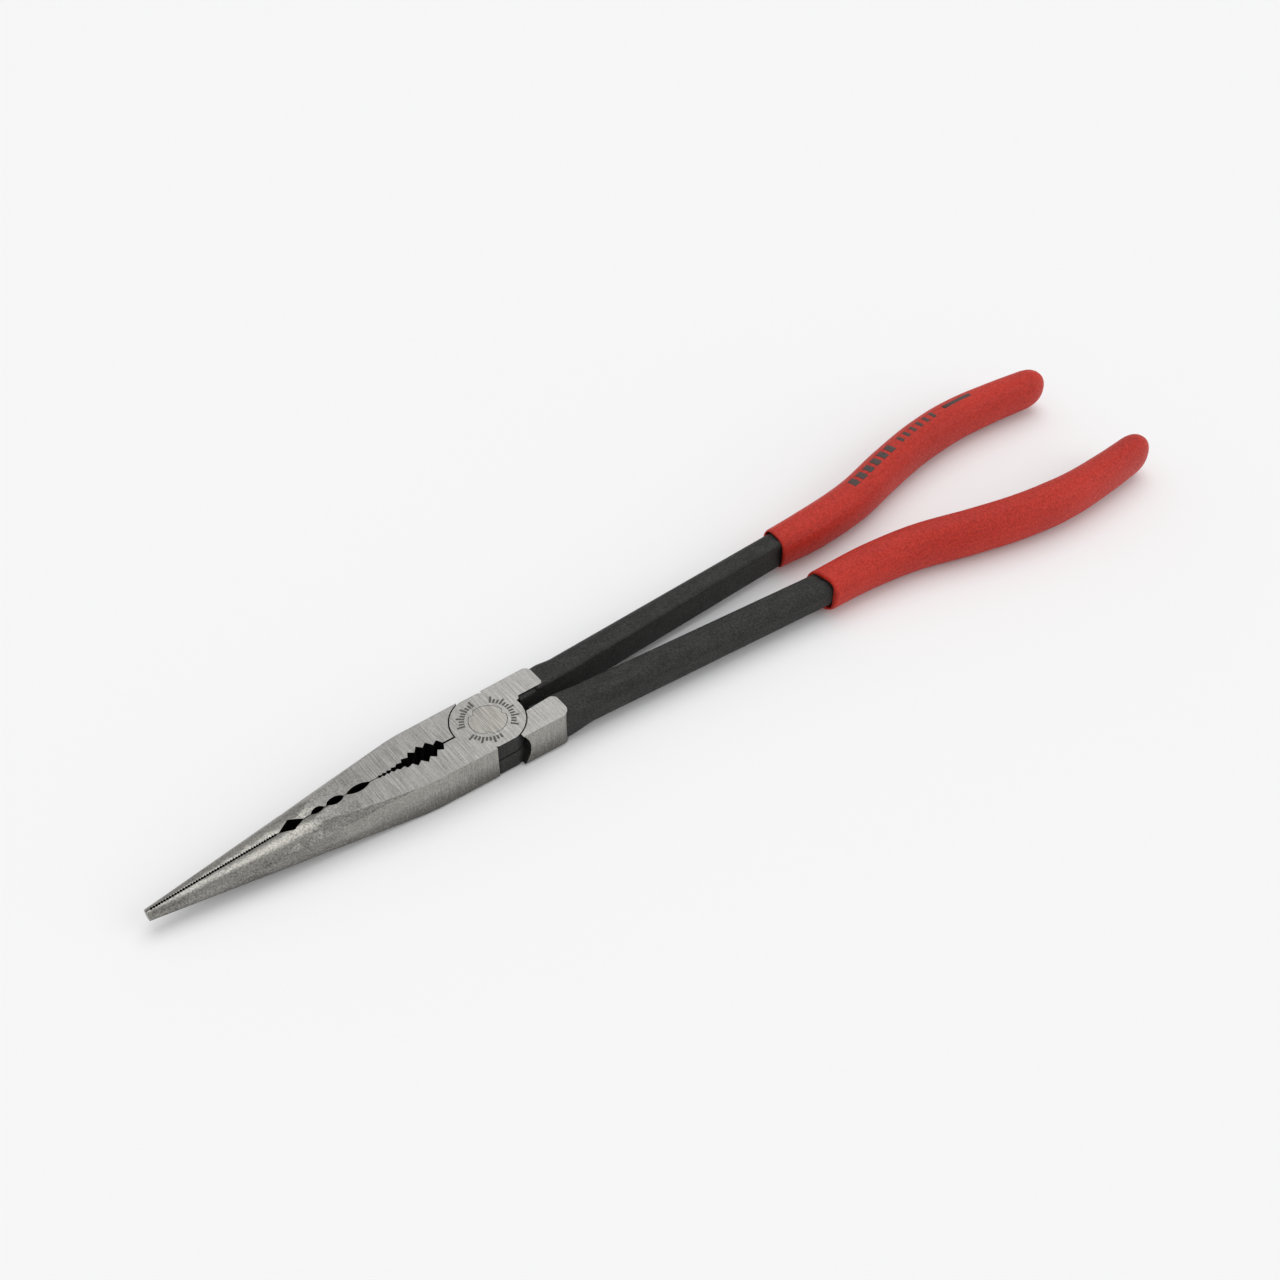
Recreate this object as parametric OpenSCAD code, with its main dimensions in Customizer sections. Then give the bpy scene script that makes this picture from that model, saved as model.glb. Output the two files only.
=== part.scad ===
// Long-reach needle-nose pliers: two forged steel halves that cross in a lap joint,
// a notched pivot rivet ground flush with the joint, and two dipped plastic grips.
// The tool lies flat. X runs along the jaw line towards the tip, Z is the pivot axis,
// and the origin is on that axis at the underside of the joint.

/* [Joint] */
// Thickness of the joint and of the jaws behind the nose
joint_t = 9; // [8:0.1:10]
// Radius of each half's joint disc
disc_r = 8.5; // [8.3:0.05:8.8]
// Distance from the jaw line to the flat ground on each disc
disc_flat = 8.2; // [8:0.05:8.5]
// Gap between a disc and the recess it turns in
disc_gap = 0.3; // [0.2:0.01:0.4]
// Gap between the two discs where they lap
lap_gap = 0.44; // [0.04:0.01:0.6]

/* [Jaws] */
// Distance from the pivot axis to the jaw tip
tip_x = 82; // [80:0.1:86]
// Distance from the pivot axis to the square shoulder behind each jaw
shoulder_x = 3; // [2.5:0.1:3.5]
// Width of one jaw at its shoulder
jaw_w = 8.5; // [8.4:0.05:8.8]
// Thickness of the round nose at the tip
tip_t = 2.5; // [2.2:0.1:3.2]
// How much the nose cone's radius grows for each millimetre behind the tip
nose_slope = 0.086; // [0.08:0.0005:0.09]
// Angle between the nose cone's axis and the jaw line
nose_angle = 3.1; // [2.8:0.1:3.4]
// Clearance of each jaw face from the jaw line
jaw_gap = 0.09; // [0.04:0.01:0.12]
// Pitch of the fine cross teeth near the tip
fine_pitch = 0.6; // [0.5:0.05:0.8]
// Depth of the fine cross teeth
fine_depth = 0.3; // [0.1:0.05:0.4]

/* [Handles] */
// Distance from the pivot axis to the rear end of a grip
handle_x = 198; // [190:0.1:200]
// Height of the forged handle bar
bar_t = 7.9; // [7:0.1:8.2]
// Distance from the pivot axis to the front of a grip
grip_front = 91; // [88:1:95]
// Half the width of a grip where it is fullest
grip_w = 4.8; // [4.5:0.1:5.2]
// Half the height of a grip where it is fullest
grip_t = 6.2; // [5.8:0.1:6.5]
// How much wider the bottom half's pad is ground than the top half's
pad_extra = 0.65; // [0:0.05:0.8]

/* [Rivet] */
// Radius of the rivet where the bottom half turns on it
rivet_r = 3.4; // [3:0.1:3.6]
// Radius of the two rivet heads
head_r = 4.3; // [4.2:0.05:4.5]
// Thickness of the two rivet heads
head_t = 1.8; // [1.5:0.1:2.2]
// Depth of the three notches that lock the upper head in the top half
notch_depth = 0.8; // [0.4:0.05:0.8]
// Running clearance of the bottom half on the rivet
run_gap = 0.04; // [0.02:0.01:0.08]

/* [Hidden] */
$fn = 96;

bright_steel = "#aaa59d";
grip_red = "#c0372d";

mid_z = joint_t / 2;
// Overshoot of a cut past the face it opens
over = 1;

// ---- Jaw, modelled on the +Y side of the jaw line ------------------------

// The outer side runs nearly square to the shoulder, bends, then goes straight to the tip.
jaw_bend = [18.7, 8.25];
jaw_tip_w = 2.5;

// Toothed hollow for pipe. Each tooth gap has its deepest point at [x, depth].
pipe_gaps = [
  [12.35, 1.7], [14.65, 2.55], [16.9, 2.8], [19.25, 2.35], [21.35, 1.5],
  [22.95, 0.95], [24.35, 0.7], [25.5, 0.57], [26.6, 0.53], [27.6, 0.42]
];
// The tooth crest in front of each gap but the last, [x, depth].
pipe_crests = [
  [13.6, 0.9], [15.85, 1.6], [18.0, 1.42], [19.95, 1.1], [21.8, 0.65],
  [23.4, 0.38], [24.65, 0.17], [25.85, 0.14], [26.95, 0.15]
];
pipe_rear = 11.6;
pipe_front = 28.1;
// The seam behind that hollow stands open: its depth at the disc and at the hollow.
seam_depth = [0.3, 0.22];

// Smooth hollows for rod: [middle x, half length, depth].
rod_hollows = [[32.8, 3.0, 1.0], [38.4, 2.15, 1.05], [42.6, 1.65, 0.8]];
// Four-sided hollow in front of them: [rear x, deepest x, front x, depth].
vee_hollow = [45.8, 48.8, 51.9, 1.65];
fine_rear = 52.3;
fine_count = floor((tip_x - 0.5 - fine_rear) / fine_pitch);

// Closes an outline along the jaw face into an area that cuts across the jaw line.
function cut_area(outline) = [
  [outline[0][0], -over],
  each outline,
  [outline[len(outline) - 1][0], -over]
];

function pipe_outline() = [
  [shoulder_x - 0.1, seam_depth[0]], [pipe_rear, seam_depth[1]],
  for (k = [0:len(pipe_crests) - 1]) each [pipe_gaps[k], pipe_crests[k]],
  pipe_gaps[len(pipe_gaps) - 1],
  [pipe_front, 0]
];

function fine_outline() = [
  for (k = [0:fine_count - 1]) each [
    [fine_rear + k * fine_pitch, jaw_gap],
    [fine_rear + (k + 0.5) * fine_pitch, jaw_gap + fine_depth]
  ],
  [fine_rear + fine_count * fine_pitch, jaw_gap]
];

// Hollow whose wall is an arc.
module rod_hollow(mid_x, half_len, depth) {
  r = (half_len * half_len + depth * depth) / (2 * depth);
  translate([mid_x, depth - r]) circle(r = r);
}

module jaw_outline() {
  difference() {
    polygon([
      [shoulder_x, jaw_gap], [shoulder_x, jaw_w], jaw_bend,
      [tip_x, jaw_tip_w], [tip_x, jaw_gap]
    ]);
    polygon(cut_area(pipe_outline()));
    for (h = rod_hollows) rod_hollow(h[0], h[1], h[2]);
    polygon(cut_area([[vee_hollow[0], 0], [vee_hollow[1], vee_hollow[3]], [vee_hollow[2], 0]]));
    polygon(cut_area(fine_outline()));
  }
}

// Cone that rounds the nose. Its axis leans away from the jaw line.
module nose_cone() {
  cone_len = tip_x + 5;
  axis_y = 0.05;
  translate([tip_x, axis_y, mid_z])
    rotate([0, 0, -nose_angle])
      rotate([0, -90, 0])
        cylinder(r1 = tip_t / 2, r2 = tip_t / 2 + nose_slope * cone_len, h = cone_len);
}

module jaw() {
  intersection() {
    linear_extrude(height = joint_t) jaw_outline();
    nose_cone();
  }
}

// ---- Handle, modelled with X as the distance behind the pivot and Y as the
// ---- distance from the jaw line, then turned half way round --------------

// Ground pad behind the joint. The two pads differ a little, so each has its own
// [inner edge as [distance behind the pivot, distance from the jaw line], rear end, radius
// of the rear outer corner, extra width].
pad_side = 8.6;
top_pad = [[[0, 1.2], [9.0, 1.2], [9.6, 2.17], [15.4, 2.17]], 16.3, 1.7, 0];
bottom_pad = [[[0, 2.9], [8.2, 2.9], [14.6, 2.45]], 16.1, 2.4, pad_extra];
// The front of the pad is scooped out below the joint's outer edge.
scoop_r = 6.5;
scoop_rear = 5.2;

// Edges of the forged bar near the pad and inside the grip, [distance, inner edge, outer edge].
bar_near = [9.2, 1.22, 8.7];
bar_far = [100, 7.05, 13.35];
bar_inner_r = 1;
bar_outer_r = 3;

module pad(shape) {
  inner = shape[0];
  last = inner[len(inner) - 1];
  rear = shape[1];
  inner_r = rear - last[0];
  outer_r = shape[2];
  side = pad_side + shape[3];
  difference() {
    linear_extrude(height = joint_t) {
      polygon(concat(inner, [
        [rear, last[1] + inner_r], [rear, side - outer_r], [rear - outer_r, side],
        [3.2, side - 0.2], [0, side - 0.4]
      ]));
      translate([last[0], last[1] + inner_r]) circle(r = inner_r);
      translate([rear - outer_r, side - outer_r]) circle(r = outer_r);
    }
    translate([scoop_rear - scoop_r, 6, mid_z]) rotate([-90, 0, 0]) cylinder(r = scoop_r, h = 5);
  }
}

// Bar section with its right-hand corners rounded; it reaches far to the left.
module bar_section(corner_r) {
  reach = 20;
  translate([-reach, -bar_t / 2]) square([reach - corner_r, bar_t]);
  translate([-corner_r - over, corner_r - bar_t / 2]) square([corner_r + over, bar_t - 2 * corner_r]);
  for (s = [-1, 1]) translate([-corner_r, s * (bar_t / 2 - corner_r)]) circle(r = corner_r);
}

// Straight bar whose rounded side follows the line from p to q.
module bar_side(p, q, corner_r, inward) {
  run = q - p;
  translate([p[0], p[1], mid_z])
    rotate([0, 0, atan2(run[1], run[0])])
      rotate([90, 0, 90])
        linear_extrude(height = norm(run)) mirror([inward ? 1 : 0, 0]) bar_section(corner_r);
}

// Outline the bar stays within, so that it never stands out beyond the pad.
function bar_limit(extra) = [
  [bar_near[0], 0], [bar_near[0], pad_side - 0.1 + extra], [16, pad_side - 0.1 + extra],
  [20, pad_side + 0.9 + extra],
  [handle_x, 20], [handle_x, 0]
];

module bar(extra) {
  intersection() {
    bar_side([bar_near[0], bar_near[1]], [bar_far[0], bar_far[1]], bar_inner_r, true);
    bar_side([bar_near[0], bar_near[2]], [bar_far[0], bar_far[2]], bar_outer_r, false);
    linear_extrude(height = joint_t) polygon(bar_limit(extra));
  }
}

// Centre line of a grip, [distance behind the pivot, distance from the jaw line].
grip_path = [
  [grip_front, 9.5], [105.3, 9.8], [120.3, 11.7], [135.3, 15.8],
  [150.3, 19.2], [165.3, 20.8], [180.3, 20.2], [handle_x, 18.4]
];
path_end = len(grip_path) - 1;

// Smooth curve through the centre line's points, and its direction, for u from 0 to path_end.
function path_pt(k) = k < 0 ? 2 * grip_path[0] - grip_path[1]
  : k > path_end ? 2 * grip_path[path_end] - grip_path[path_end - 1]
  : grip_path[k];
function path_seg(u) = min(floor(u), path_end - 1);
function path_at(u) = let(
    k = path_seg(u), t = u - k,
    a = path_pt(k - 1), b = path_pt(k), c = path_pt(k + 1), d = path_pt(k + 2)
  ) 0.5 * (2 * b + (c - a) * t + (2 * a - 5 * b + 4 * c - d) * t * t + (3 * b - a - 3 * c + d) * t * t * t);
function path_side(u) = let(
    step = 0.02,
    run = path_at(min(u + step, path_end)) - path_at(max(u - step, 0))
  ) [-run[1], run[0]] / norm(run);

// Forged core inside the grip.
core_w = 5;
core_u = [for (u = [0.25:0.25:path_end - 0.4]) u];

module core() {
  outer_edge = [for (u = core_u) path_at(u) + path_side(u) * core_w / 2];
  inner_edge = [for (k = [len(core_u) - 1:-1:0]) path_at(core_u[k]) - path_side(core_u[k]) * core_w / 2];
  translate([0, 0, mid_z - bar_t / 2])
    linear_extrude(height = bar_t) polygon(concat(outer_edge, inner_edge));
}

module handle(shape) {
  rotate([0, 0, 180]) {
    pad(shape);
    bar(shape[3]);
    core();
  }
}

// ---- Grip ----------------------------------------------------------------

// Half width and half height of the grip skin at each distance behind the pivot.
grip_widths = [[grip_front, 4.4], [103, 4.8], [125, grip_w], [160, grip_w - 0.1], [handle_x, 3.8]];
grip_heights = [[grip_front, 5.0], [105, 5.6], [130, grip_t - 0.1], [160, grip_t], [handle_x, 5.6]];
grip_sides = 24;
grip_power = 2.5;
// The rolled lip at the front and the round end, in steps of the centre line.
lip_u = 0.06;
cap_u = 0.4;
lip_steps = [[0, 0.9], [0.3, 0.96], [1, 1]];
cap_steps = [0, 0.3, 0.5, 0.68, 0.82, 0.92, 0.98, 1];

function cap_scale(t) = pow(max(1 - pow(t, 2.4), 0.004), 1 / 2.4);
// Every ring of the skin: [place on the centre line, share of the full section].
grip_rings = concat(
  [for (s = lip_steps) [s[0] * lip_u, s[1]]],
  [for (u = [0.25:0.25:path_end - cap_u - 0.1]) [u, 1]],
  [for (t = cap_steps) [path_end - cap_u * (1 - t), cap_scale(t)]]
);

function bulge(c) = sign(c) * pow(abs(c), 2 / grip_power);
function ring_points(ring) = let(
    p = path_at(ring[0]),
    side = path_side(ring[0]),
    w = lookup(p[0], grip_widths) * ring[1],
    h = lookup(p[0], grip_heights) * ring[1]
  ) [for (k = [0:grip_sides - 1]) let(a = 360 * (k + 0.5) / grip_sides, q = p + side * w * bulge(cos(a)))
    [q[0], q[1], mid_z + h * bulge(sin(a))]];

module grip_skin() {
  n = grip_sides;
  last = len(grip_rings) - 1;
  polyhedron(
    points = [for (ring = grip_rings) each ring_points(ring)],
    faces = concat(
      [[for (k = [0:n - 1]) k]],
      [for (r = [0:last - 1], k = [0:n - 1]) let(j = (k + 1) % n)
        [r * n + k, (r + 1) * n + k, (r + 1) * n + j, r * n + j]],
      [[for (k = [n - 1:-1:0]) last * n + k]]
    )
  );
}

module grip() {
  color(grip_red) rotate([0, 0, 180]) difference() {
    grip_skin();
    bar(0);
    core();
  }
}

// ---- Forged half: its disc on top, its jaw at +Y and its handle at -Y -----

module forged_half(shape) {
  difference() {
    union() {
      jaw();
      handle(shape);
      cylinder(r = disc_r - over, h = joint_t);
    }
    // Recess for the other half's disc
    translate([0, 0, -over]) cylinder(r = disc_r + disc_gap, h = over + mid_z + lap_gap / 2);
  }
  intersection() {
    translate([0, 0, mid_z + lap_gap / 2]) cylinder(r = disc_r, h = mid_z - lap_gap / 2);
    translate([-disc_r, -disc_flat, 0]) cube([2 * disc_r, 2 * disc_flat, joint_t]);
  }
}

// Turns a shape of the top half over into its place in the bottom half.
module turned_over() {
  translate([0, 0, joint_t]) rotate([180, 0, 0]) children();
}

// ---- Rivet ---------------------------------------------------------------

notch_count = 3;
notch_half_angle = 22;
key_gap = 0.1;

// Outline of the notched head, grown by the given gap.
module notched_circle(gap) {
  difference() {
    circle(r = head_r + gap);
    for (k = [0:notch_count - 1])
      rotate([0, 0, 360 / notch_count * k + 60])
        polygon([
          [head_r - notch_depth + gap, 0],
          [head_r + over, -(head_r + over) * tan(notch_half_angle)],
          [head_r + over, (head_r + over) * tan(notch_half_angle)]
        ]);
  }
}

// Upper head, which the notches lock in the top half.
module notched_head(gap) {
  linear_extrude(height = head_t + gap) notched_circle(gap);
}

module half_top() {
  color(bright_steel) difference() {
    forged_half(top_pad);
    translate([0, 0, joint_t + key_gap]) mirror([0, 0, 1]) notched_head(key_gap);
    cylinder(r = rivet_r + key_gap, h = joint_t);
  }
}

module half_bottom() {
  color(bright_steel) difference() {
    turned_over() forged_half(bottom_pad);
    translate([0, 0, -over]) cylinder(r = head_r + run_gap, h = head_t + run_gap + over);
    cylinder(r = rivet_r + run_gap, h = joint_t);
  }
}

module pivot_rivet() {
  color(bright_steel) {
    translate([0, 0, joint_t]) mirror([0, 0, 1]) notched_head(0);
    cylinder(r = rivet_r, h = joint_t - over);
    cylinder(r = head_r, h = head_t);
  }
}

module grip_top_half() { grip(); }
module grip_bottom_half() { turned_over() grip(); }

half_top();
half_bottom();
pivot_rivet();
grip_top_half();
grip_bottom_half();
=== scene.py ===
import math

import bmesh
import bpy
from mathutils import Matrix, Vector


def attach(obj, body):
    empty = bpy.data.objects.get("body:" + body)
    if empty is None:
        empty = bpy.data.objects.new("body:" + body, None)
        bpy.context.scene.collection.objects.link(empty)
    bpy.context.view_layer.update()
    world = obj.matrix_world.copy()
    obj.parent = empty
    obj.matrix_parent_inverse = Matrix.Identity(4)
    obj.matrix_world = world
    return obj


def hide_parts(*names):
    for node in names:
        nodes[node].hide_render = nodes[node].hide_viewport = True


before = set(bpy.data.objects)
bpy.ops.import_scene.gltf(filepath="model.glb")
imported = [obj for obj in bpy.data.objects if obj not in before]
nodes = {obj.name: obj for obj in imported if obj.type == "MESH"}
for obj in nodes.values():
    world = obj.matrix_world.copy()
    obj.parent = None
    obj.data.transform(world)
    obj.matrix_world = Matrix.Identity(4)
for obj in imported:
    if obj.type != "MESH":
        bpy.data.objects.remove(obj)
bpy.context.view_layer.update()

MM = 0.001
JOINT_T = 9.0
MID_Z = JOINT_T / 2
RECESS_R = 8.8
GRIP_FRONT = 91.0
HANDLE_X = 198.0


# ---- Camera, floor and light ----------------------------------------------

CAM_AZ = 142.921
CAM_EL = 43.780
CAM_ROLL = -0.212
CAM_DIST = 389.43
CAM_TARGET = Vector((-47.72, -7.30, 0.0))
FOCAL = 45.668


def add_camera():
    az = math.radians(CAM_AZ)
    el = math.radians(CAM_EL)
    back = Vector((math.sin(az) * math.cos(el), -math.cos(az) * math.cos(el), math.sin(el)))
    right = Vector((0, 0, 1)).cross(back).normalized()
    up = back.cross(right)
    roll = math.radians(CAM_ROLL)
    turned_right = right * math.cos(roll) + up * math.sin(roll)
    turned_up = up * math.cos(roll) - right * math.sin(roll)
    place = Matrix((turned_right, turned_up, back)).transposed().to_4x4()
    place.translation = (CAM_TARGET + back * CAM_DIST) * MM
    data = bpy.data.cameras.new("camera")
    data.lens = FOCAL
    data.sensor_width = 36.0
    data.clip_start = 0.01
    data.clip_end = 20.0
    camera = bpy.data.objects.new("camera", data)
    camera.matrix_world = place
    bpy.context.scene.collection.objects.link(camera)
    bpy.context.scene.camera = camera


def add_sun(name, direction, spread, strength):
    """A far, wide softbox in the given direction."""
    data = bpy.data.lights.new(name, "SUN")
    data.angle = math.radians(spread)
    data.energy = strength
    light = bpy.data.objects.new(name, data)
    light.rotation_euler = Vector(direction).to_track_quat("Z", "Y").to_euler()
    bpy.context.scene.collection.objects.link(light)


def add_world():
    world = bpy.data.worlds.new("studio")
    world.use_nodes = True
    sky = world.node_tree.nodes["Background"]
    sky.inputs["Color"].default_value = (1.0, 1.0, 1.0, 1)
    sky.inputs["Strength"].default_value = 0.61
    bpy.context.scene.world = world


def add_floor():
    # The grips almost touch the floor, and the head stands a little clear of it.
    head_x = 25.0
    head_z = -0.45
    grip_x = -160.0
    grip_z = -1.98
    slope = (head_z - grip_z) / (head_x - grip_x)
    half = 2500.0
    mesh = bpy.data.meshes.new("floor")
    corners = [(-half, -half), (half, -half), (half, half), (-half, half)]
    verts = [(x * MM, y * MM, (head_z + (x - head_x) * slope) * MM) for x, y in corners]
    mesh.from_pydata(verts, [], [(0, 1, 2, 3)])
    floor = bpy.data.objects.new("floor", mesh)
    bpy.context.scene.collection.objects.link(floor)
    mat = bpy.data.materials.new("floor_paper")
    mat.use_nodes = True
    shader = mat.node_tree.nodes["Principled BSDF"]
    shader.inputs["Base Color"].default_value = (0.9, 0.9, 0.905, 1)
    shader.inputs["Roughness"].default_value = 0.9
    shader.inputs["Specular IOR Level"].default_value = 0.1
    mesh.materials.append(mat)


# ---- Materials ------------------------------------------------------------


class Tree:
    """A material's node tree, with a few short ways to add and link nodes."""

    def __init__(self, name):
        self.mat = bpy.data.materials.new(name)
        self.mat.use_nodes = True
        self.nodes = self.mat.node_tree.nodes
        self.links = self.mat.node_tree.links
        self.shader = self.nodes["Principled BSDF"]
        self.coords = self.nodes.new("ShaderNodeTexCoord")

    def link(self, a, b):
        self.links.new(a, b)

    def noise(self, per_mm, detail=3.0, rough=0.55):
        """Noise with so many cells for each millimetre along X, Y and Z."""
        stretch = self.nodes.new("ShaderNodeMapping")
        stretch.inputs["Scale"].default_value = [n / MM for n in per_mm]
        self.link(self.coords.outputs["Object"], stretch.inputs["Vector"])
        node = self.nodes.new("ShaderNodeTexNoise")
        node.inputs["Scale"].default_value = 1.0
        node.inputs["Detail"].default_value = detail
        node.inputs["Roughness"].default_value = rough
        self.link(stretch.outputs["Vector"], node.inputs["Vector"])
        return node.outputs["Fac"]

    def spread(self, value, low, high, src=(0.3, 0.7)):
        node = self.nodes.new("ShaderNodeMapRange")
        node.inputs["From Min"].default_value = src[0]
        node.inputs["From Max"].default_value = src[1]
        node.inputs["To Min"].default_value = low
        node.inputs["To Max"].default_value = high
        self.link(value, node.inputs["Value"])
        return node.outputs["Result"]

    def fade(self, axis, start, end, low, high):
        """Tone that runs from low to high between two places along an axis, in millimetres."""
        split = self.nodes.new("ShaderNodeSeparateXYZ")
        self.link(self.coords.outputs["Object"], split.inputs["Vector"])
        return self.spread(split.outputs[axis], low, high, (start * MM, end * MM))

    def blend(self, share, a, b):
        """a where share is 0, b where it is 1."""
        return self.math("ADD", a, self.math("MULTIPLY", share, self.math("SUBTRACT", b, a)))

    def math(self, kind, a, b):
        node = self.nodes.new("ShaderNodeMath")
        node.operation = kind
        for k, v in enumerate((a, b)):
            if isinstance(v, (int, float)):
                node.inputs[k].default_value = v
            else:
                self.link(v, node.inputs[k])
        return node.outputs["Value"]

    def mix(self, factor, low, high):
        """Blend of two colours, each a tuple or an output."""
        node = self.nodes.new("ShaderNodeMix")
        node.data_type = "RGBA"
        self.link(factor, node.inputs["Factor"])
        for name, v in (("A", low), ("B", high)):
            socket = [s for s in node.inputs if s.name == name and s.type == "RGBA"][0]
            if isinstance(v, tuple):
                socket.default_value = (*v, 1)
            else:
                self.link(v, socket)
        return [s for s in node.outputs if s.type == "RGBA"][0]

    def edge_mask(self, radius, gain):
        """1 near sharp edges, 0 on open faces, and the rounded normal."""
        bevel = self.nodes.new("ShaderNodeBevel")
        bevel.samples = 4
        bevel.inputs["Radius"].default_value = radius * MM
        geometry = self.nodes.new("ShaderNodeNewGeometry")
        dot = self.nodes.new("ShaderNodeVectorMath")
        dot.operation = "DOT_PRODUCT"
        self.link(bevel.outputs["Normal"], dot.inputs[0])
        self.link(geometry.outputs["Normal"], dot.inputs[1])
        mask = self.spread(dot.outputs["Value"], gain, 0.0, (0.8, 1.0))
        return mask, bevel.outputs["Normal"]

    def bump(self, height, strength, distance, normal=None):
        node = self.nodes.new("ShaderNodeBump")
        node.inputs["Strength"].default_value = strength
        node.inputs["Distance"].default_value = distance * MM
        self.link(height, node.inputs["Height"])
        if normal is not None:
            self.link(normal, node.inputs["Normal"])
        return node.outputs["Normal"]


def ground_steel(name, dark, light, rough, lines, grain, turn_x, *slow):
    """Steel ground in lines, which turns into the nose's even satin finish along X.

    lines is the line cells for each millimetre, grain the share of even grain among them, turn_x
    where the finish starts and ends turning into satin. Each slow change of tone is (axis, from,
    to, tone there, tone there); the first belongs to the ground finish, the second to the satin
    and any others to both. Places are in millimetres.
    """
    t = Tree(name)
    satin = t.fade("X", turn_x[0], turn_x[1], 0.0, 1.0)
    specks = t.noise((2.6, 2.6, 2.6), 2.0, 0.7)
    bands = t.noise((0.03, 0.8, 0.8), 2.0, 0.5)
    line = t.spread(t.noise(lines, 2.0, 0.6), 0.0, 1.0 - grain)
    ground = t.math("ADD", line, t.spread(specks, 0.0, grain))
    even = t.math("ADD", t.spread(specks, 0.0, 0.8), t.spread(bands, -0.02, 0.22))
    streaks = t.blend(satin, ground, even)
    cloud = t.spread(t.noise((0.16, 0.16, 0.16), 2.0, 0.5), -0.06, 0.06)
    tone = t.blend(satin, t.fade(*slow[0]), t.fade(*slow[1]))
    for part in slow[2:]:
        tone = t.math("ADD", tone, t.fade(*part))
    # The bevel mask brightens the steel near sharp edges: a painted highlight along the edges.
    mask, rounded = t.edge_mask(0.12, 0.5)
    tone = t.math("ADD", tone, t.math("SUBTRACT", streaks, 0.5))
    edged_tone = t.math("ADD", t.math("ADD", tone, cloud), mask)
    clipped = t.spread(edged_tone, 0.0, 1.0, (0.0, 1.0))
    t.link(t.mix(clipped, dark, light), t.shader.inputs["Base Color"])
    t.link(t.spread(streaks, rough + 0.06, rough - 0.06, (0.0, 1.0)), t.shader.inputs["Roughness"])
    t.link(t.bump(streaks, 0.3, 0.02, rounded), t.shader.inputs["Normal"])
    t.shader.inputs["Metallic"].default_value = 1.0
    return t.mat


def black_oxide():
    t = Tree("black_oxide")
    grain = t.noise((2.2, 2.2, 2.2), 3.0, 0.7)
    cloud = t.noise((0.18, 0.35, 0.35), 3.0, 0.6)
    specks = t.noise((1.3, 1.8, 1.8), 2.0, 0.4)
    scratches = t.noise((0.25, 3.0, 3.0), 2.0, 0.4)
    mask, rounded = t.edge_mask(0.2, 0.3)
    speck = t.spread(specks, 0.0, 0.6, (0.70, 0.76))
    scratch = t.spread(scratches, 0.0, 0.35, (0.68, 0.76))
    tone = t.math("ADD", t.spread(cloud, 0.05, 0.45), t.spread(grain, -0.45, 0.5))
    marks = t.math("ADD", t.math("ADD", tone, speck), scratch)
    # The oxide is lighter near sharp edges, where it is worn.
    edged_tone = t.math("ADD", marks, mask)
    clipped = t.spread(edged_tone, 0.0, 1.0, (0.0, 1.0))
    colour = t.mix(clipped, (0.008, 0.0085, 0.0075), (0.041, 0.0415, 0.039))
    t.link(colour, t.shader.inputs["Base Color"])
    t.link(t.spread(grain, 0.62, 0.48), t.shader.inputs["Roughness"])
    t.link(t.bump(grain, 0.3, 0.06, rounded), t.shader.inputs["Normal"])
    t.shader.inputs["Metallic"].default_value = 0.0
    t.shader.inputs["Specular IOR Level"].default_value = 0.25
    return t.mat


def red_plastic():
    t = Tree("red_dipped_plastic")
    grain = t.noise((1.8, 1.8, 1.8), 3.0, 0.75)
    cloud = t.noise((0.05, 0.08, 0.08), 3.0, 0.5)
    tone = t.math("ADD", t.spread(cloud, 0.3, 0.6), t.spread(grain, -0.5, 0.6))
    clipped = t.spread(tone, 0.0, 1.0, (0.0, 1.0))
    colour = t.mix(clipped, (0.315, 0.0150, 0.009), (0.565, 0.036, 0.020))
    t.link(colour, t.shader.inputs["Base Color"])
    t.link(t.spread(grain, 0.58, 0.38), t.shader.inputs["Roughness"])
    t.link(t.bump(grain, 0.8, 0.14), t.shader.inputs["Normal"])
    t.shader.inputs["Specular IOR Level"].default_value = 0.2
    t.shader.inputs["Subsurface Weight"].default_value = 0.25
    t.shader.inputs["Subsurface Radius"].default_value = (1.0, 0.15, 0.1)
    t.shader.inputs["Subsurface Scale"].default_value = 2.0 * MM
    return t.mat


def dark_ink():
    t = Tree("dark_ink")
    patchy = t.noise((2.0, 2.0, 2.0), 3.0, 0.6)
    colour = t.mix(t.spread(patchy, 0.0, 1.0), (0.030, 0.020, 0.018), (0.075, 0.040, 0.034))
    t.link(colour, t.shader.inputs["Base Color"])
    t.shader.inputs["Roughness"].default_value = 0.6
    return t.mat


def engraved_steel():
    t = Tree("engraved_steel")
    patchy = t.noise((3.0, 3.0, 3.0), 3.0, 0.6)
    colour = t.mix(t.spread(patchy, 0.0, 1.0), (0.045, 0.043, 0.040), (0.14, 0.13, 0.12))
    t.link(colour, t.shader.inputs["Base Color"])
    t.shader.inputs["Roughness"].default_value = 0.6
    t.shader.inputs["Metallic"].default_value = 0.5
    return t.mat


# ---- Steel halves and rivet -----------------------------------------------

# Grinding lines for each millimetre along X, Y and Z.
TOP_LINES = (5.5, 0.13, 0.13)
SIDE_LINES = (4.5, 1.0, 0.30)


def face_kind(x, y, z, n, r):
    """Finish of a forged half's face, from its middle and normal in the half's own frame."""
    flat_top = abs(n.z) > 0.95 and (z > JOINT_T - 0.02 or z < 0.02)
    if flat_top:
        return "top"
    if r < RECESS_R + 0.02 and x < 8.7:
        return "black"
    if x > 0 and abs(n.z) > 0.02:
        return "nose"
    if x > 0 and n.y < -0.1:
        return "inner"
    if x > 0:
        return "black" if n.x < -0.9 else "side"
    if x > -15.9 and y < -6 and n.y < -0.3 and abs(n.z) < 0.02:
        return "side"
    return "black"


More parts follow.
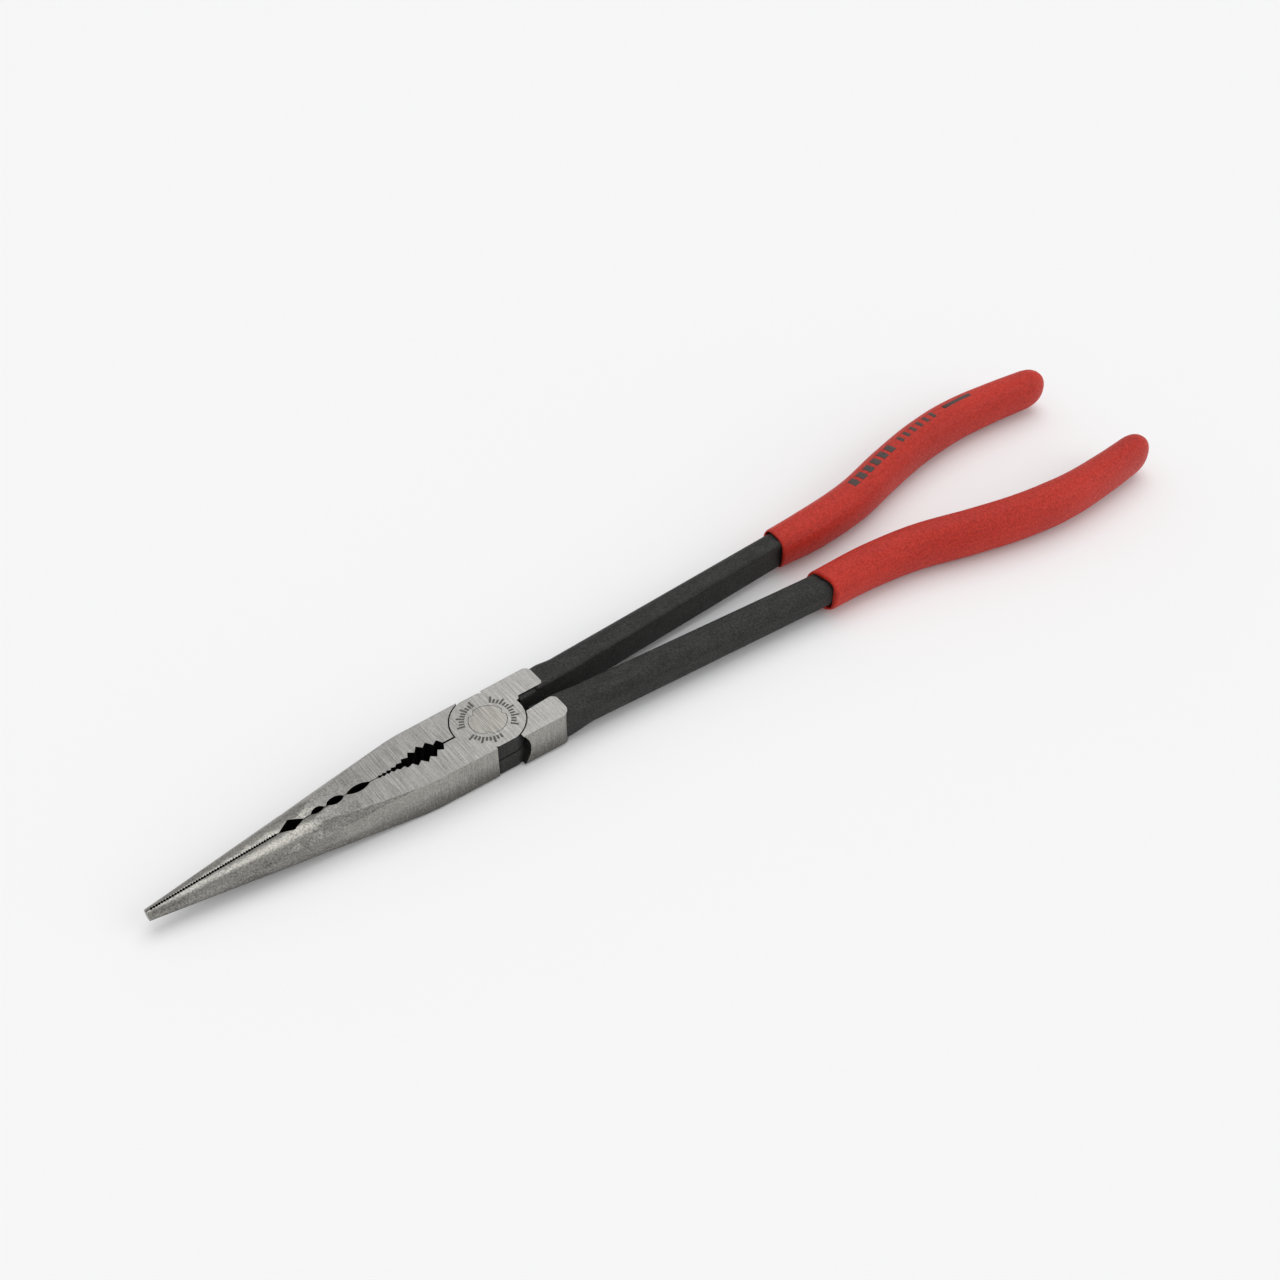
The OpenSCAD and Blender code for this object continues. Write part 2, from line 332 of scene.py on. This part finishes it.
def finish_half(name, turned, kinds):
    obj = nodes[name]
    mesh = obj.data
    mesh.materials.clear()
    order = list(kinds)
    for kind in order:
        mesh.materials.append(kinds[kind])
    for face in mesh.polygons:
        x, y, z = face.center / MM
        n = face.normal.copy()
        if turned:
            y = -y
            z = JOINT_T - z
            n = Vector((n.x, -n.y, -n.z))
        face.material_index = order.index(face_kind(x, y, z, n, math.hypot(x, y)))


def smooth_by_angle(mesh, degrees):
    """Smooth shading that stops at sharp edges and where two finishes meet."""
    mesh.polygons.foreach_set("use_smooth", [True] * len(mesh.polygons))
    mesh.set_sharp_from_angle(angle=math.radians(degrees))
    finishes = {}
    for face in mesh.polygons:
        for key in face.edge_keys:
            finishes.setdefault(key, set()).add(face.material_index)
    for edge in mesh.edges:
        if len(finishes.get(edge.key, ())) > 1:
            edge.use_edge_sharp = True


# ---- Shapes swept along the handle ----------------------------------------

# Centre line of a grip, [distance behind the pivot, distance from the jaw line].
GRIP_PATH = [
    (GRIP_FRONT, 9.5), (105.3, 9.8), (120.3, 11.7), (135.3, 15.8),
    (150.3, 19.2), (165.3, 20.8), (180.3, 20.2), (HANDLE_X, 18.4),
]
PATH_END = len(GRIP_PATH) - 1
# The section is a little squarer than an ellipse, whose power would be 2.
GRIP_POWER = 2.25
# How far along the centre line a grip's lip still has a say, and the length of the line's first step.
LIP_REACH = 0.8
FIRST_STEP = 14.3
GRIP_WIDTHS = [(91, 4.62), (103, 5.0), (125, 5.0), (160, 4.9), (198, 4.0)]
GRIP_HEIGHTS = [(91, 5.1), (105, 5.68), (130, 6.16), (160, 6.25), (198, 5.7)]


def path_point(k):
    pts = GRIP_PATH
    if k < 0:
        return Vector((2 * pts[0][0] - pts[1][0], 2 * pts[0][1] - pts[1][1]))
    if k > PATH_END:
        return Vector((2 * pts[-1][0] - pts[-2][0], 2 * pts[-1][1] - pts[-2][1]))
    return Vector(pts[k])


def path_at(u):
    k = max(0, min(int(math.floor(u)), PATH_END - 1))
    t = u - k
    a, b, c, d = [path_point(k + j) for j in (-1, 0, 1, 2)]
    return 0.5 * (
        2 * b + (c - a) * t + (2 * a - 5 * b + 4 * c - d) * t ** 2 + (3 * b - a - 3 * c + d) * t ** 3
    )


def path_side(u):
    run = path_at(min(u + 0.02, PATH_END)) - path_at(u - 0.02)
    return Vector((-run.y, run.x)).normalized()


def look_up(table, x):
    for (x0, y0), (x1, y1) in zip(table, table[1:]):
        if x <= x1:
            t = max(0.0, min(1.0, (x - x0) / (x1 - x0)))
            return y0 + (y1 - y0) * t
    return table[-1][1]


def lip_share(u):
    """1 at the front of a grip, 0 where its lip ends."""
    return max(0.0, 1 - max(u, 0) / LIP_REACH)


def bulge(c, power):
    return math.copysign(abs(c) ** (2 / power), c)


def ring_point(u, angle, w, h, power, slant):
    """Point on a ring round the top half's handle: half width w and half height h at place u."""
    across = w * bulge(math.cos(angle), power)
    lean = lip_share(u) * slant * across / FIRST_STEP
    q = path_at(u + lean) + path_side(u + lean) * across
    return Vector((-q.x, -q.y, MID_Z + h * bulge(math.sin(angle), power))) * MM


def skin_point(u, angle, grow):
    """Point on the far grip's skin, or grow beyond it."""
    x = path_at(u).x
    w = look_up(GRIP_WIDTHS, x) + grow
    h = look_up(GRIP_HEIGHTS, x) + grow
    return ring_point(u, angle, w, h, GRIP_POWER, 0)


def turn(v):
    """From the top half's place to the bottom half's."""
    return Vector((v.x, -v.y, JOINT_T * MM - v.z))


def new_object(name, verts, faces, material, turned=False):
    mesh = bpy.data.meshes.new(name)
    if turned:
        verts = [turn(v) for v in verts]
    mesh.from_pydata(verts, [], faces)
    bm = bmesh.new()
    bm.from_mesh(mesh)
    bmesh.ops.recalc_face_normals(bm, faces=bm.faces)
    bm.to_mesh(mesh)
    bm.free()
    mesh.polygons.foreach_set("use_smooth", [True] * len(mesh.polygons))
    mesh.materials.append(material)
    obj = bpy.data.objects.new(name, mesh)
    bpy.context.scene.collection.objects.link(obj)
    return obj


def tube_faces(rings, sides):
    faces = [list(range(sides))]
    for r in range(rings - 1):
        for k in range(sides):
            j = (k + 1) % sides
            faces.append([r * sides + k, r * sides + j, (r + 1) * sides + j, (r + 1) * sides + k])
    faces.append([(rings - 1) * sides + k for k in range(sides)])
    return faces


def add_grip(name, turned, material, lip, slant, fuller):
    """Dipped grip: where its front is, how its front leans, and the extra size it has there."""
    sides = 72
    # From a closed end deep between plastic and bar, out of the tunnel and round the lip.
    rings = [
        (lip + 0.26, 3.15, 3.9, 5), (lip + 0.2, 3.42, 4.12, 5), (lip + 0.02, 3.45, 4.15, 5),
        (lip + 0.004, 3.5, 4.2, 4.5), (lip, 3.62, 4.32, 4),
    ]
    cap_u = 0.4
    cap_steps = 18
    cap_power = 2.4
    steps = 110

    def skin(u, share):
        extra = 1 + fuller * lip_share(u)
        x = path_at(u).x
        w = look_up(GRIP_WIDTHS, x) * extra * share
        h = look_up(GRIP_HEIGHTS, x) * extra * share
        return (u, w, h, GRIP_POWER)

    for drop, share in ((0.0, 0.93), (0.006, 0.965), (0.018, 0.987), (0.035, 1.0)):
        rings.append(skin(lip + drop, share))
    start = lip + 0.06
    for k in range(steps + 1):
        rings.append(skin(start + (PATH_END - cap_u - start) * k / steps, 1.0))
    for k in range(1, cap_steps + 1):
        t = math.sin(math.pi / 2 * k / cap_steps)
        share = max(1 - t ** cap_power, 0.0008) ** (1 / cap_power)
        rings.append(skin(PATH_END - cap_u * (1 - t), share))
    verts = []
    for u, w, h, power in rings:
        for k in range(sides):
            verts.append(ring_point(u, 2 * math.pi * (k + 0.5) / sides, w, h, power, slant))
    return new_object(name, verts, tube_faces(len(rings), sides), material, turned)


# The forged flare where the bar grows out of the pad. The bar's two edges are straight lines,
# (distance from the jaw line at the bar's start, growth for each millimetre behind it).
BAR_INNER = (1.22, 0.0642)
BAR_OUTER = (8.70, 0.0512)
BAR_START = 9.2
FLARE_START = 14.2
FLARE_LENGTH = 9.8


def add_flare(name, turned, material, side):
    """Black forging between the ground pad, whose side is at y = side, and the round-cornered bar."""
    per_corner = 8
    steps = 14
    verts = []
    for k in range(steps + 1):
        t = k / steps
        ease = t * t * (3 - 2 * t)
        x = FLARE_START + FLARE_LENGTH * t
        y0 = BAR_INNER[0] + BAR_INNER[1] * (x - BAR_START) + 0.03
        y1 = BAR_OUTER[0] + BAR_OUTER[1] * (x - BAR_START) - 0.03
        y1 = min(y1, side - 0.12 + 0.25 * max(0, x - 16))
        half = 4.40 - 0.48 * ease
        outer_r = 1.5 + 1.5 * ease
        inner_r = 1.0
        corners = ((y1, 1, 1, outer_r), (y0, -1, 1, inner_r), (y0, -1, -1, inner_r), (y1, 1, -1, outer_r))
        for c, (edge, sy, sz, r) in enumerate(corners):
            for j in range(per_corner + 1):
                a = math.pi / 2 * (c + j / per_corner)
                y = edge - sy * r + r * math.cos(a)
                z = MID_Z + sz * (half - r) + r * math.sin(a)
                verts.append(Vector((-x, -y, z)) * MM)
    return new_object(name, verts, tube_faces(steps + 1, 4 * (per_corner + 1)), material, turned)


def add_grip_marks(material):
    """Plain printed dashes on the outer top of the far grip."""
    verts = []
    faces = []

    def dash(u0, u1, a0, a1):
        n_u = 4
        n_a = 5
        start = len(verts)
        for grow in (0.02, -0.15):
            for i in range(n_u + 1):
                for j in range(n_a + 1):
                    u = u0 + (u1 - u0) * i / n_u
                    a = math.radians(a0 + (a1 - a0) * j / n_a)
                    verts.append(skin_point(u, a, grow))
        row = n_a + 1
        layer = (n_u + 1) * row
        for i in range(n_u):
            for j in range(n_a):
                q = start + i * row + j
                faces.append([q, q + 1, q + row + 1, q + row])
                faces.append([q + layer, q + layer + row, q + layer + row + 1, q + layer + 1])
        rim = [i * row for i in range(n_u + 1)]
        rim += [n_u * row + j for j in range(1, n_a + 1)]
        rim += [i * row + n_a for i in range(n_u - 1, -1, -1)]
        rim += [j for j in range(n_a - 1, 0, -1)]
        for a, b in zip(rim, rim[1:] + rim[:1]):
            faces.append([start + a, start + b, start + b + layer, start + a + layer])

    for k in range(6):
        dash(1.92 + 0.225 * k, 2.07 + 0.225 * k, 74, 100)
    for k in range(6):
        dash(3.42 + 0.19 * k, 3.50 + 0.19 * k, 76, 98)
    dash(4.72, 5.42, 80, 92)
    return new_object("grip_marks", verts, faces, material)


def add_ring_marks(material):
    """Plain radial ticks stamped round the rivet."""
    verts = []
    faces = []

    def tick(angle, r0, r1, half_width):
        a = math.radians(angle)
        out = Vector((math.cos(a), math.sin(a), 0))
        side = Vector((-out.y, out.x, 0))
        start = len(verts)
        for z in (JOINT_T - 0.2, JOINT_T + 0.006):
            for r, s in ((r0, -1), (r1, -1), (r1, 1), (r0, 1)):
                verts.append((out * r + side * s * half_width + Vector((0, 0, z))) * MM)
        faces.append([start + 3, start + 2, start + 1, start])
        faces.append([start + 4, start + 5, start + 6, start + 7])
        for k in range(4):
            j = (k + 1) % 4
            faces.append([start + k, start + j, start + 4 + j, start + 4 + k])

    for first, last in ((22, 88), (132, 232), (274, 346)):
        count = round((last - first) / 8)
        for k in range(count + 1):
            tick(first + (last - first) * k / count, 5.2, 6.4 if k % 3 else 7.1, 0.26)
    obj = new_object("ring_marks", verts, faces, material)
    obj.data.polygons.foreach_set("use_smooth", [False] * len(obj.data.polygons))
    return obj


# ---- Build ----------------------------------------------------------------

add_camera()
add_world()
add_sun("overhead", (-0.28, -0.20, 0.94), 56, 1.04)
add_sun("near_side", (-0.60, 0.68, 0.43), 50, 0.8)
add_floor()

STEEL_DARK = (0.148, 0.145, 0.137)
STEEL_LIGHT = (0.412, 0.404, 0.386)
WARM_DARK = (0.148, 0.143, 0.130)
WARM_LIGHT = (0.412, 0.400, 0.370)
# The nose's darkest colour is well below the steel's, so that the painted shade on the nose's lower part
# can go dark.
NOSE_DARK = (0.085, 0.082, 0.075)
RIVET_LIGHT = (0.405, 0.388, 0.358)
INNER_DARK = (0.014, 0.014, 0.013)
INNER_LIGHT = (0.050, 0.048, 0.045)
# Where along X each finish turns into satin. The last is past the tip.
TOP_TURN = (30, 44)
SIDE_TURN = (18, 32)
NOSE_TURN = (8, 10)
NO_TURN = (90, 95)
# Slow changes of tone: of the flats, of the sides, of the nose, and towards the tip. The sides and the
# nose grow darker towards the bottom, which is painted shade: the painted reflection of the shaded floor
# beside the tool.
FLAT_TONE = ("X", -5, 33, 0.72, 0.30)
FLAT_END_TONE = ("X", 10, 33, 0.42, 0.32)
SIDE_PAINTED_SHADE = ("Z", 0.5, 5.5, -0.04, 0.72)
SATIN_SIDE_PAINTED_SHADE = ("Z", 0.5, 4.5, 0.02, 0.70)
NOSE_PAINTED_SHADE = ("Z", 4.0, 7.4, 0.16, 0.54)
SIDE_END_TONE = ("X", 36, 48, 0.0, -0.33)
TIP_TONE = ("X", 36, 78, 0.0, 0.24)
top_steel = ground_steel(
    "ground_steel", STEEL_DARK, STEEL_LIGHT, 0.38, TOP_LINES, 0.3, TOP_TURN,
    FLAT_TONE, FLAT_END_TONE, TIP_TONE
)
side_steel = ground_steel(
    "ground_side", WARM_DARK, WARM_LIGHT, 0.34, SIDE_LINES, 0.6, SIDE_TURN,
    SIDE_PAINTED_SHADE, SATIN_SIDE_PAINTED_SHADE, SIDE_END_TONE
)
nose_steel = ground_steel(
    "satin_nose", NOSE_DARK, WARM_LIGHT, 0.36, TOP_LINES, 0.6, NOSE_TURN,
    NOSE_PAINTED_SHADE, NOSE_PAINTED_SHADE, TIP_TONE
)
rivet_steel = ground_steel(
    "rivet_steel", STEEL_DARK, RIVET_LIGHT, 0.38, TOP_LINES, 0.2, TOP_TURN,
    FLAT_TONE, FLAT_END_TONE
)
inner_steel = ground_steel(
    "machined_teeth", INNER_DARK, INNER_LIGHT, 0.5, TOP_LINES, 0.2, NO_TURN,
    FLAT_TONE, FLAT_END_TONE
)
black = black_oxide()
red = red_plastic()
ink = dark_ink()
engraved = engraved_steel()

kinds = {"top": top_steel, "side": side_steel, "nose": nose_steel, "inner": inner_steel, "black": black}
finish_half("half_top", False, kinds)
finish_half("half_bottom", True, kinds)
nodes["pivot_rivet"].data.materials.clear()
nodes["pivot_rivet"].data.materials.append(rivet_steel)
for name in ("half_top", "half_bottom", "pivot_rivet"):
    smooth_by_angle(nodes[name].data, 25)

far_grip = add_grip("grip_far", False, red, 0.02, 0.09, -0.02)
near_grip = add_grip("grip_near", True, red, -0.05, 0.21, 0.05)
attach(far_grip, "upper_half")
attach(near_grip, "lower_half")
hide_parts("grip_top_half")
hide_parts("grip_bottom_half")

far_flare = add_flare("flare_far", False, black, 8.6)
near_flare = add_flare("flare_near", True, black, 9.25)
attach(far_flare, "upper_half")
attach(near_flare, "lower_half")

grip_marks = add_grip_marks(ink)
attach(grip_marks, "upper_half")
ring_marks = add_ring_marks(engraved)
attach(ring_marks, "upper_half")

bpy.context.scene.view_settings.view_transform = "Standard"
